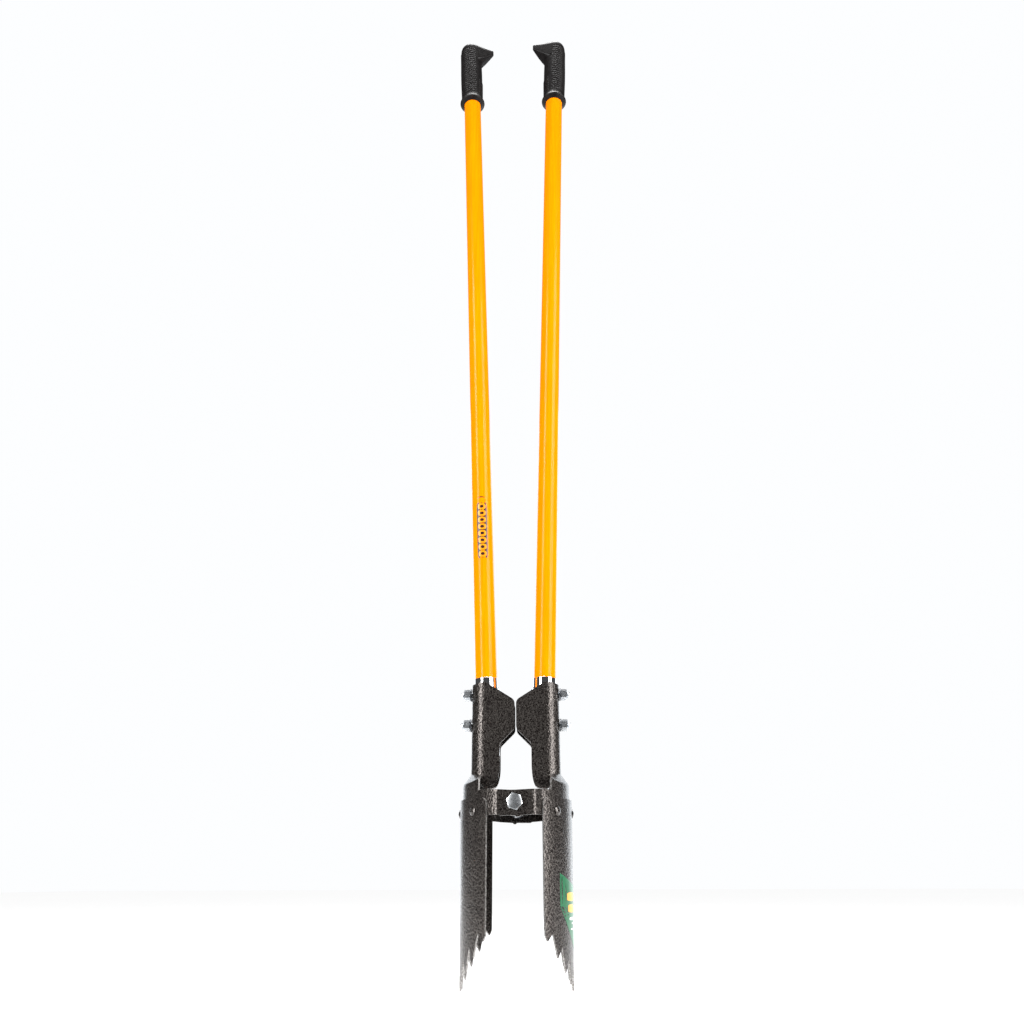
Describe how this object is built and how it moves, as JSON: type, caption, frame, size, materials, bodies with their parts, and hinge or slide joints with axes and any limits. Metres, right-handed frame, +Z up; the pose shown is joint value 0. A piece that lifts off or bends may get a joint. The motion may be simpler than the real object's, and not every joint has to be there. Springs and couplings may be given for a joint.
{
  "type": "post hole digger",
  "caption": "Clamshell post hole digger: two toothed curved blades riveted to pivoting yokes that carry long tubular handles with rubber grips.",
  "frame": {"origin": "on the ground midway between the tips of the two blades, at the bottom centre of the bounding box", "axes": "+Z up along the handles, +X towards the right half as seen from the front, +Y towards the rear, along the pivot bolts"},
  "size_m": [0.1898, 0.1604, 1.5194],
  "materials": {
    "hammered_paint": "dark warm grey hammered paint, semi-gloss",
    "rivet_paint": "dark grey paint over a domed rivet, semi-gloss",
    "yellow_fibreglass": "glossy orange-yellow glass fibre tube",
    "chrome_ferrule": "mirror bright",
    "grip_rubber": "black ribbed rubber, satin",
    "zinc_plate": "bright zinc plate",
    "dark_steel": "dark plain steel"
  },
  "bodies": {
    "pivot": {"front_pivot_bolt": "zinc_plate", "front_pivot_washer": "dark_steel", "front_pivot_nut": "zinc_plate", "rear_pivot_bolt": "zinc_plate", "rear_pivot_washer": "dark_steel", "rear_pivot_nut": "zinc_plate"},
    "right_half": {"right_blade": "hammered_paint", "right_yoke": "hammered_paint", "right_rivet_front": "rivet_paint", "right_rivet_middle": "rivet_paint", "right_rivet_rear": "rivet_paint", "right_handle_tube": "yellow_fibreglass", "right_ferrule": "chrome_ferrule", "right_grip": "grip_rubber", "right_upper_handle_bolt": "zinc_plate", "right_upper_handle_washer": "dark_steel", "right_upper_handle_nut": "zinc_plate", "right_lower_handle_bolt": "zinc_plate", "right_lower_handle_washer": "dark_steel", "right_lower_handle_nut": "zinc_plate"},
    "left_half": {"left_blade": "hammered_paint", "left_yoke": "hammered_paint", "left_rivet_front": "rivet_paint", "left_rivet_middle": "rivet_paint", "left_rivet_rear": "rivet_paint", "left_handle_tube": "yellow_fibreglass", "left_ferrule": "chrome_ferrule", "left_grip": "grip_rubber", "left_upper_handle_bolt": "zinc_plate", "left_upper_handle_washer": "dark_steel", "left_upper_handle_nut": "zinc_plate", "left_lower_handle_bolt": "zinc_plate", "left_lower_handle_washer": "dark_steel", "left_lower_handle_nut": "zinc_plate"}
  },
  "joints": [
    {"name": "right_swing", "type": "hinge", "parent": "pivot", "child": "right_half", "pos_m": [0, 0, 0.202], "axis": [0, 1, 0], "range_deg": [0, 12.5]},
    {"name": "left_swing", "type": "hinge", "parent": "pivot", "child": "left_half", "pos_m": [0, 0, 0.202], "axis": [0, -1, 0], "range_deg": [0, 12.5]}
  ],
  "couplings": [
    {"joint": "left_swing", "follows": "right_swing", "ratio": 1}
  ]
}
